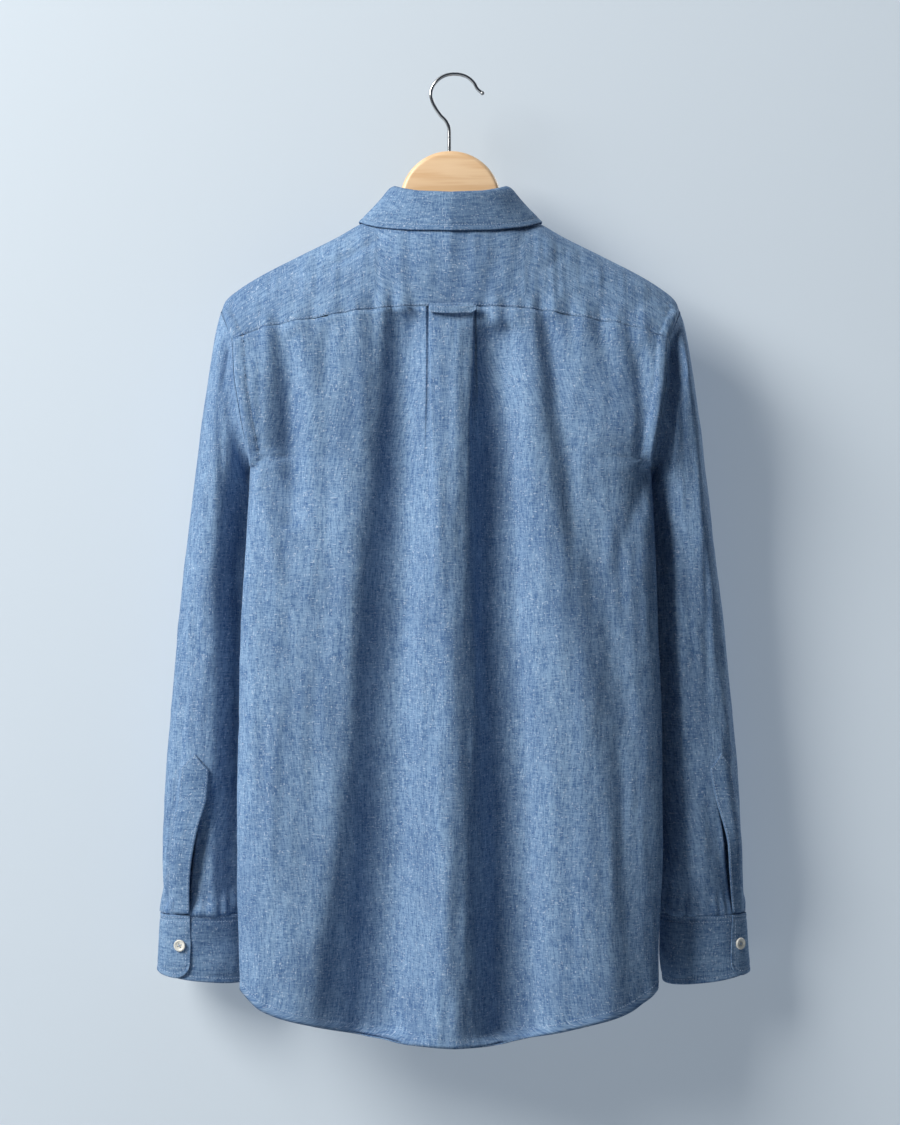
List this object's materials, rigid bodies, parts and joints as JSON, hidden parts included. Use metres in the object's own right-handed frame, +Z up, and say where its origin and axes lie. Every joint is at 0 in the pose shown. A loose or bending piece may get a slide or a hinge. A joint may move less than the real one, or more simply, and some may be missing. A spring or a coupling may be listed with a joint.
{
  "type": "chambray shirt on a hanger",
  "caption": "Long-sleeved button-up shirt with a turned-down collar, back yoke and box pleat, hanging on a flat wooden hanger with a wire hook.",
  "frame": {"origin": "inside top of the hanger hook's wire, where a nail, peg or rail carries the hanger", "axes": "+Z up along the hanging shirt; +Y out of the shirt's buttoned front, -Y out of its back; +X to the wearer's right"},
  "size_m": [0.5783, 0.1552, 0.9287],
  "materials": {
    "chambray": "plain weave of blue warp and paler weft, matte",
    "chambray_trim": "same chambray in two layers with fusing, matte",
    "button": "off-white, satin gloss",
    "hanger_wood": "clear satin lacquer",
    "hook_wire": "polished"
  },
  "bodies": {
    "root": {"yoke": "chambray", "back_panel": "chambray", "locker_loop": "chambray_trim", "front_left": "chambray", "front_right": "chambray", "collar_stand": "chambray_trim", "collar_fall": "chambray_trim", "sleeve_left": "chambray", "sleeve_right": "chambray", "sleeve_placket_left": "chambray_trim", "sleeve_placket_right": "chambray_trim", "cuff_left": "chambray_trim", "cuff_right": "chambray_trim", "cuff_button_left": "button", "cuff_button_right": "button", "front_button_1": "button", "front_button_2": "button", "front_button_3": "button", "front_button_4": "button", "front_button_5": "button", "front_button_6": "button", "front_button_7": "button", "hanger_body": "hanger_wood", "hanger_hook": "hook_wire"}
  },
  "joints": []
}
